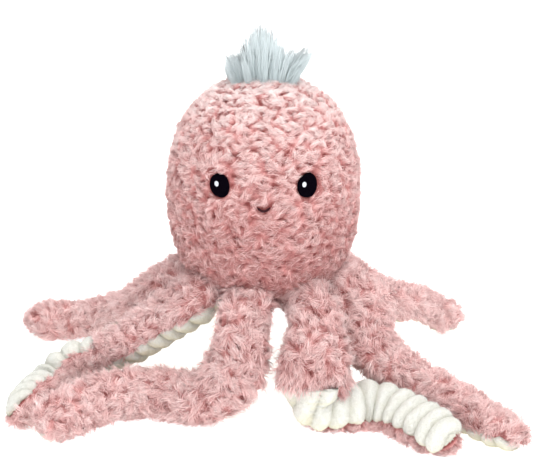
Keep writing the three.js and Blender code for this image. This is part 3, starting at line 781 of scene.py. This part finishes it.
def mouth_line(count):
    t = np.linspace(-1, 1, count)
    return t * MOUTH_WIDTH / 2, MOUTH_LEVEL - MOUTH_DIP * (1 - t ** 2)


def mouth_distance(places):
    x, z = mouth_line(25)
    gap = np.hypot(places[:, 0, None] - x, places[:, 2, None] - z).min(1)
    return np.where(places[:, 1] < 0, gap, FAR)


def face_calm(places):
    """0 beside the stitched eyes and mouth, where the pile is pressed short, and 1 away from them."""
    eyes = clamp((eye_distance(places, 0) - 1) * 3.2)
    mouth = clamp((mouth_distance(places) - 0.8) / 2.6)
    return np.minimum(eyes, mouth)


def uneven(places):
    """How the stuffing lifts the head's cover here and there."""
    return 0.7 * lumps(places, 30.0, 3) + 0.5 * lumps(places, 13.0, 4)


def dress_head():
    rng = np.random.default_rng(11)
    count = round(HEAD_AREA / (HEAD_LOCK ** 2 * LOCK_PACKING))
    places, outward, sideways = head_samples(spread(count, 5), -HEAD_INSET, BASE_HEIGHT + 1)
    places = places + sideways * rng.normal(scale=1.0, size=(count, 1))
    upward = np.cross(outward, sideways)
    turn = rng.normal(scale=radians(36), size=count) + rng.choice([0, pi], count)
    lie = unit(sideways * np.cos(turn)[:, None] + upward * (np.sin(turn) - 0.15)[:, None])
    locks = lock_set(places, outward, lie, rng,
                     half_length=HEAD_LOCK * 0.95, half_width=HEAD_LOCK * 0.52, height=HEAD_RISE)
    # The locks just above the mouth are the palest
    puff = (np.hypot(places[:, 0], places[:, 2] - MOUTH_LEVEL - 2) < 5) & (places[:, 1] < 0)
    locks["tint"] = np.where(puff, 1.0, locks["tint"])

    radius, height = head_profile(-HEAD_INSET, BASE_HEIGHT, 900)
    run = running(np.hypot(np.diff(radius), np.diff(height)))
    count, sides, last = 165, 300, 0.9975
    rows = np.linspace(0, run[-1] * last, count)
    radius, height = np.interp(rows, run, radius), np.interp(rows, run, height)
    turn = round_turns(sides)
    ring = np.stack([np.cos(turn), np.sin(turn), np.zeros(sides)], 1)
    rings = ring[None] * radius[:, None, None] + UP * height[:, None, None]
    flat = rings.reshape(-1, 3)
    outer, upper = np.gradient(height)[:, None, None], -np.gradient(radius)[:, None, None]
    away = unit(ring[None] * outer + UP * upper).reshape(-1, 3)
    dome = lock_field(flat, locks)[0] * face_calm(flat)
    rise = dome + uneven(flat)
    rise[:sides] = 0
    skin = tube_object("head_skin", world((flat + away * rise[:, None]).reshape(rings.shape)), BACKING)
    # Painted shade: the backing is darker where the locks stand low, between them
    paint(skin, "tone", np.concatenate([0.5 * dome / HEAD_RISE, [0.1, 0.1]]))
    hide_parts("head_cover", "head_stuffing", "base_panel")
    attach(skin, "head")

    places, outward, sideways = head_samples(spread(HEAD_STRANDS, 6), -HEAD_INSET, BASE_HEIGHT + 1)
    keep = ~inside_arms(places, margin=0.0) & (eye_distance(places, 0) > 1) & (mouth_distance(places) > 0.9)
    crown = (places[:, 0] / (TUFT_SPREAD / 2)) ** 2 + (places[:, 1] / (TUFT_DEPTH / 2)) ** 2
    keep &= (crown > 1) | (places[:, 2] < HEAD_LEVEL)
    places, outward = places[keep], outward[keep]
    places = places + outward * uneven(places)[:, None]
    climb = (places[:, 2] - HEAD_LEVEL) / CROWN_RISE
    # Painted light: the pile is paler towards the crown and darker low on the head, as the light from above
    # falls
    painted_height_light = 0.28 * climb + 0.26 * np.maximum(climb, 0) ** 3 - 0.1
    paths, *looks = grow(places, outward, locks, rng, length=6.0, lift=1.4, gather=0.22, stray=0.22,
                         calm=face_calm(places), painted_height_light=painted_height_light)
    # Strands that would lie across an eye or the mouth are pressed back
    for k in (1, 2):
        across = (eye_distance(paths[:, k], 0.1) < 1) | (mouth_distance(paths[:, k]) < 1.1)
        paths[across, 1:] = paths[across, :1] + (paths[across, 1:] - paths[across, :1]) * 0.2
    for fur in make_fur("head_fur", paths, *looks, HEAD_GIRTH, rng):
        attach(fur, "head")


def flex(made, arm, part):
    """Works out the span round the hinge at the head seam or the one halfway along the arm, then bakes the
    piece's placement into its mesh.
    """
    if part == "root":
        middle, before, after = arm.root_share, *ROOT_FLEX
    else:
        middle, before, after = arm.bend, *BEND_FLEX
    centre = arm.stations(np.array([middle + before / arm.length, middle + after / arm.length]))[0]
    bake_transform(made)


def dress_arm(arm, seed):
    rng = np.random.default_rng(seed)
    split = arm.split()
    count = round(ARM_SPREAD * arm.length * ARM_GIRTH / (ARM_LOCK ** 2 * LOCK_PACKING))
    s, turn, (places, outward, along, _, up) = arm_samples(arm, spread(count, seed + 7), ARM_INSET)
    around = np.cross(along, outward)
    angle = rng.uniform(0, 2 * pi, count)
    lie = along * (0.3 + np.cos(angle))[:, None] + around * np.sin(angle)[:, None]
    lie = unit(lie + up * (1.8 * arm.seam_nearness(s, turn))[:, None])
    if arm.name == "front_right":
        # The pile hangs over the fold where the ribbed side comes round
        hem_length = 9
        hem = clamp(1.5 - (arm.bend - s) * arm.length / hem_length) * (s <= arm.bend)
        lie = lie * (1 - 0.8 * hem)[:, None] + along * (2 * hem)[:, None]
    lie = square_to(lie, outward)
    locks = lock_set(places, outward, lie, rng,
                     half_length=ARM_LOCK * 0.9, half_width=ARM_LOCK * 0.55, height=ARM_RISE)

    for part, low, high, half in (("root", 0.0, split, "upper"), ("tip", split, 1.0, "lower")):
        row_step, sides, tip_rows = 1.4, 76, 14
        shares = np.linspace(low, high, max(6, round((high - low) * arm.length / row_step)) + 1)
        if part == "tip":
            end = np.cos(np.linspace(pi / 2, 0.06, tip_rows))
            shares = np.concatenate([shares[shares < 1 - TIP_ROUND], 1 - TIP_ROUND + TIP_ROUND * end])
        turns = np.linspace(-pi / 2, 3 * pi / 2, sides, endpoint=False)
        grid_s, grid_t = np.repeat(shares, sides), np.tile(turns, len(shares))
        places, outward, *_ = arm.surface(grid_s, grid_t, ARM_INSET)
        cover = np.where(arm.furry(grid_s, grid_t), 1 - 0.6 * arm.seam_nearness(grid_s, grid_t), 0)
        dome = lock_field(places, locks)[0] * cover
        places = places + outward * (dome + 0.7 * lumps(places, 24.0, seed + 1))[:, None]
        rings = on_floor(places).reshape(len(shares), sides, 3)[:, ::-1]
        skin = tube_object(f"arm_{arm.name}_{part}_skin", world(rings), BACKING)
        # Painted shade: the backing is darker where the locks stand low, between them and by the seams
        tone = (0.5 * dome / ARM_RISE).reshape(len(shares), sides)[:, ::-1]
        paint(skin, "tone", np.concatenate([tone.ravel(), [0.1, 0.1]]))
        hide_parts(f"arm_{arm.name}_{half}_cover", f"arm_{arm.name}_{half}_stuffing")
        flex(skin, arm, part)
        dress_ribs(arm, part, half, low, high)

    strands = round(ARM_STRANDS * ARM_SPREAD * arm.length / ARMS_LENGTH)
    s, turn, (places, outward, along, *_) = arm_samples(arm, spread(strands, seed + 8), ARM_INSET)
    keep = ~inside_head(places, margin=-1.0) & ~inside_arms(places, margin=-4.0, skip=arm.name)
    keep &= arm.furry(s, turn)
    s, turn, places, outward, along = s[keep], turn[keep], places[keep], outward[keep], along[keep]
    calm = 1 - 0.5 * arm.seam_nearness(s, turn)
    places = places + outward * (0.7 * lumps(places, 24.0, seed + 1))[:, None]
    mean_radius = 15.0
    paths, *looks = grow(places, outward, locks, rng, length=8.8, lift=3.0, gather=0.2, stray=0.3,
                         bow=(np.cross(along, outward), mean_radius), calm=calm)
    paths = on_floor(paths)
    for part, pick in (("root", s < split), ("tip", s >= split)):
        picked = [look[pick] for look in looks]
        for fur in make_fur(f"arm_{arm.name}_{part}_fur", paths[pick], *picked, ARM_STRAND_GIRTH, rng):
            flex(fur, arm, part)


def on_floor(places):
    """Nothing goes through the floor."""
    places = places.copy()
    places[..., 2] = np.maximum(places[..., 2], FLOOR_GAP)
    return places


def rib_surface(arm, s, place, lift):
    """Places on the rolls of the ribbed underside, from -1 at one seam to 1 at the other."""
    middle, reach = arm.underside(s)
    run = s * arm.length
    if arm.name == "front_right":
        # Round the fold the rolls stay side by side, square to the arm's way just past it
        past = np.array([arm.bend + 0.15])
        centre, along, *_ = arm.stations(past)
        flat = ((arm.surface(s, middle + reach * place, 0.0)[0] - centre) * along).sum(1)
        run = np.where(s < past, past * arm.length + flat, run)
    roll = np.abs(np.sin(pi * run / RIB_PITCH)) ** 0.62
    reach = np.maximum(reach + radians(3) + radians(9) * roll, 0.05)
    outer, outward, *_ = arm.surface(s, middle + reach * place, 0.0)
    puff = roll * np.sqrt(1 - np.abs(place) ** 4)
    depth = RIB_LOW + (RIB_HIGH - RIB_LOW) * puff
    depth = depth + 0.2 * lumps(outer, 3.0, 21) + 0.35 * lumps(outer, 12.0, 22)
    depth -= 2.6 * np.abs(place) ** 7
    return outer + outward * (depth + lift)[:, None], outward, puff


def dress_ribs(arm, part, half, low, high):
    """The ribbed underside: puffed rolls across the arm, drawn in at both seams, with a short nap."""
    high = min(high, 0.995 if arm.name == "front_right" else 0.98)
    step, sides = 0.6, 37
    s = np.linspace(low, high, round((high - low) * arm.length / step) + 1)
    place = np.linspace(-1, 1, sides)
    grid_s, grid_p = np.repeat(s, sides), np.tile(place, len(s))
    top, _, puff = rib_surface(arm, grid_s, grid_p, 0.0)
    middle, reach = arm.underside(grid_s)
    inner = arm.surface(grid_s, middle + reach * grid_p, RIB_BACK)[0]
    top, inner = (on_floor(v).reshape(len(s), sides, 3) for v in (top, inner))
    rings = np.concatenate([top, inner[:, ::-1]], 1)
    made = tube_object(f"arm_{arm.name}_{part}_ribs", world(rings[:, ::-1]), CHENILLE)
    puff = puff.reshape(len(s), sides)
    # The tone is painted shade: greyer where the rolls dip, and darkest on the back face inside
    values = np.concatenate([puff, np.zeros_like(puff)], 1)[:, ::-1].ravel()
    paint(made, "tone", np.concatenate([values, [0, 0]]))
    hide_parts(f"arm_{arm.name}_{half}_underside")
    flex(made, arm, part)

    rng = np.random.default_rng(len(arm.name) + round(1000 * low))
    pairs = spread(round(RIB_NAP * (high - low) * arm.length / ARMS_LENGTH), 9)
    s, place = low + (high - low) * pairs[:, 0], (2 * pairs[:, 1] - 1) * 0.97
    root, outward, puff = rib_surface(arm, s, place, -0.3)
    tip = root + unit(outward + rng.normal(scale=0.45, size=root.shape)) * rng.uniform(0.9, 1.6, (len(s), 1))
    paths = on_floor(np.stack([root, tip], 1))
    # Painted shade: the nap is darker at its root and where the rolls dip
    tone = clamp(np.stack([puff, puff + 0.3], 1))
    nap = strand_object(
        f"arm_{arm.name}_{part}_nap", world(paths), np.full((len(s), 1), NAP_GIRTH * MM), tone,
        rng.uniform(0, 1, len(s)), outward, CHENILLE,
    )
    flex(nap, arm, part)


def arm_samples(arm, pairs, inset):
    """Places spread evenly over an arm, with their shares and turns."""
    shares = np.linspace(0.0, 0.998, 300)
    _, _, _, _, a, b, _ = arm.stations(shares)
    girth = a + b + 1
    total = running((girth[1:] + girth[:-1]) / 2)
    s = np.interp(pairs[:, 0], total / total[-1], shares)
    turns = np.linspace(-pi / 2, 3 * pi / 2, 200)
    step = np.hypot(1.4 * np.sin(turns), np.cos(turns))
    run = running((step[1:] + step[:-1]) / 2)
    turn = np.interp(pairs[:, 1], run / run[-1], turns)
    return s, turn, arm.surface(s, turn, inset)


# -------- tuft, eyes and mouth
def dress_tuft():
    rng = np.random.default_rng(77)
    depths = (-8.0, -4.0, 0.0, 4.0, 8.0)
    rows = np.array([(x, y, lean, y * 0.03, length - 0.05 * y * y)
                     for x, lean, length in TUFT_LOCKS for y in depths])
    rows += rng.normal(size=rows.shape) * [1.0, 1.4, 0.05, 0.08, 1.8]
    count, lock_radius, sunk, strays = TUFT_STRANDS, 3.0, 4.0, 0.08
    strand_girths = np.array([0.26, 0.26, 0.23, 0.18, 0.12])
    rings = len(strand_girths)
    owner = rng.integers(0, len(rows), count)
    hub, lean, long = rows[owner, :2], rows[owner, 2:4], rows[owner, 4]
    around = rng.uniform(0, 2 * pi, count)
    off = np.stack([np.cos(around), np.sin(around)], 1)
    off *= (np.sqrt(rng.uniform(0, 1, count)) * lock_radius)[:, None]
    length = long * rng.uniform(0.62, 1.0, count)
    stray = rng.random(count) < strays
    length[stray] = long[stray] * rng.uniform(1.0, 1.22, stray.sum())
    lean = lean + rng.normal(scale=0.05, size=(count, 2))
    lean += rng.normal(scale=0.12, size=(count, 2)) * stray[:, None]
    wave = rng.normal(scale=0.5, size=(count, 2))
    base = HEAD_LEVEL + head_crown(np.hypot(*(hub + off).T)) - sunk
    paths = np.empty((count, rings + 1, 3))
    for k in range(rings + 1):
        t = k / rings
        flat = hub + off * (1 - 0.7 * t ** 1.3) + lean * (length * t ** 1.35)[:, None]
        flat += wave * sin(3 * t)
        paths[:, k] = np.column_stack([flat, base + length * t])
    paths[:, 1:] += rng.normal(scale=0.2, size=paths[:, 1:].shape)
    girths = np.tile(strand_girths, (count, 1)) * rng.uniform(0.7, 1.1, count)[:, None]
    tint = clamp(rng.uniform(0.2, 1, len(rows))[owner] + rng.normal(scale=0.15, size=count))
    # Painted shade: each strand is darker towards its root
    tone = np.tile(np.arange(rings + 1) / rings, (count, 1))
    facing = unit(np.column_stack([paths[:, 3, 0] / 14, paths[:, 3, 1] / 9, np.full(count, 0.35)]))
    made = strand_object("crown_hair", world(paths), girths * MM, tone, tint, facing, PALE_HAIR)
    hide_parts("crown_tuft")
    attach(made, "head")


def head_crown(radius):
    """How far the crown stands over the head's middle at a distance from the axis."""
    return CROWN_RISE * rounded(np.minimum(radius / (HEAD_WIDTH / 2), 1))


def stitched_patch(name, place, size, low, dome, pitch, thread, solid):
    """A satin-stitched oval on the head: a low dome of threads side by side."""
    across, level = place
    rings, sides, slant, sunk = 30, 168, radians(8), low - 1.2
    r = np.linspace(0, 1, rings + 1)[1:] ** 0.8
    turn = round_turns(sides)[::-1]
    rr, tt = np.meshgrid(r, turn, indexing="ij")
    x, z = rr * np.cos(tt) * size[0] / 2, rr * np.sin(tt) * size[1] / 2
    line = (x * cos(slant) + z * sin(slant)) / pitch
    ridge = np.abs(np.sin(pi * line))
    jag = 1 + 0.022 * rr ** 6 * np.sin(np.floor(line) * 12.9)
    x, z = x * jag, z * jag
    lift = low + dome * (1 - rr ** 2.6) ** 0.5 + 0.16 * ridge * (1 - 0.5 * rr)
    top = front_of_head(across + x, level + z, lift)
    foot = front_of_head(across + x[-1:], level + z[-1:], sunk)
    ends = [world(front_of_head(across, level, margin)) for margin in (low + dome, sunk)]
    made = tube_object(name, world(np.concatenate([top, foot])), thread, ends)
    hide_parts(solid)
    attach(made, "head")


def dress_face():
    for side, sign in (("left", -1), ("right", 1)):
        eye = sign * EYE_SPACING / 2, EYE_LEVEL
        glint = eye[0] - EYE_WIDTH * 0.16, EYE_LEVEL + EYE_HEIGHT * 0.1
        stitched_patch(f"eye_{side}_stitching", eye, (EYE_WIDTH, EYE_HEIGHT), low=-0.8, dome=1.9,
                       pitch=0.55, thread=NAVY, solid=f"eye_{side}")
        stitched_patch(f"eye_{side}_highlight", glint, (GLINT_WIDTH, GLINT_HEIGHT), low=1.05, dome=0.7,
                       pitch=0.5, thread=WHITE, solid=f"eye_{side}_glint")
    count, sides, thread_radius, thread_lift = 60, 10, 0.9, 1.7
    x, z = mouth_line(count)
    middle = front_of_head(x, z, np.full(count, thread_lift))
    along = unit(np.gradient(middle, axis=0))
    outward = unit(middle * [1, 1, 0])
    side = np.cross(along, outward)
    turn = round_turns(sides)
    reach = np.arange(count) / count
    girth = thread_radius * np.minimum(1, 5 * np.minimum(reach, 1 - reach) + 0.35)
    bulge = 1 + 0.12 * np.sin(turn[None] * 2 + reach[:, None] * 60)
    ring = side[:, None] * np.cos(turn)[None, :, None] + outward[:, None] * np.sin(turn)[None, :, None]
    rings = middle[:, None] + ring * (girth[:, None] * bulge)[..., None]
    made = tube_object("mouth_stitch", world(rings), MOUTH)
    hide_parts("mouth_thread")
    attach(made, "head")


dress_head()
for number, arm in enumerate(made_arms.values()):
    dress_arm(arm, 100 + 10 * number)
dress_tuft()
dress_face()


# -------- floor, light and camera
def make_stage():
    made, tree, shader = material("floor", 0.9)
    greys = [(0.3, colour(244, 244, 244)), (0.7, colour(247, 247, 247))]
    link(ramp(tree, greys, noise(tree, 4.0, 2.0, 0.5)), shader.inputs["Base Color"])
    shader.inputs["Emission Color"].default_value = (1, 1, 1, 1)
    shader.inputs["Emission Strength"].default_value = 0.8
    size = 40.0
    corners = np.array([[-size, -size, 0], [size, -size, 0], [size, size, 0], [-size, size, 0]])
    floor = mesh_from("floor", corners, [np.array([[0, 1, 2, 3]])], made)


def sun(name, heading, height, strength, softness):
    """Even light from a heading, 0 in front and 90 at the viewer's right, and a height, all in degrees."""
    light = bpy.data.lights.new(name, "SUN")
    light.energy = strength
    light.angle = radians(softness)
    made = bpy.data.objects.new(name, light)
    turn, rise = radians(heading), radians(height)
    source = Vector((sin(turn) * cos(rise), -cos(turn) * cos(rise), sin(rise)))
    made.rotation_euler = (-source).to_track_quat("-Z", "Y").to_euler()
    scene.collection.objects.link(made)


make_stage()
sun("key", 36, 50, 1.6, 45)
sun("top", 20, 80, 1.9, 60)
sun("fill", -45, 25, 0.6, 70)
sun("back", 180, 40, 0.9, 60)
sky = bpy.data.worlds.new("studio")
sky.use_nodes = True
light = sky.node_tree.nodes["Background"].inputs
light["Color"].default_value = (1, 1, 1, 1)
light["Strength"].default_value = 0.5
scene.world = sky
scene.view_settings.view_transform = "Standard"

# The photograph's own view: how far and how steeply the camera looks down, and where in the picture the
# head's middle is seen
DISTANCE, MM_PER_PIXEL, LOOK_DOWN = 1150.0, 0.75, radians(17.0)
PICTURE_WIDTH, PICTURE_HEIGHT = 533.0, 468.0
SEEN_ACROSS, SEEN_DOWN = 263.5, 190.0
SENSOR = 36.0
focal = DISTANCE / MM_PER_PIXEL
camera = bpy.data.cameras.new("camera")
camera.sensor_width = SENSOR
camera.lens = SENSOR * focal / PICTURE_WIDTH
camera.clip_start, camera.clip_end = 0.05, 100.0
eye_point = bpy.data.objects.new("camera", camera)
scene.collection.objects.link(eye_point)
scene.camera = eye_point
away = np.array([0, -cos(LOOK_DOWN), sin(LOOK_DOWN)]) * DISTANCE
eye_point.location = world(np.array([0, 0, HEAD_LEVEL]) + away)
pitch = LOOK_DOWN + atan((PICTURE_HEIGHT / 2 - SEEN_DOWN) / focal)
yaw = atan((SEEN_ACROSS - PICTURE_WIDTH / 2) / focal)
eye_point.rotation_euler = (pi / 2 - pitch, 0, yaw)
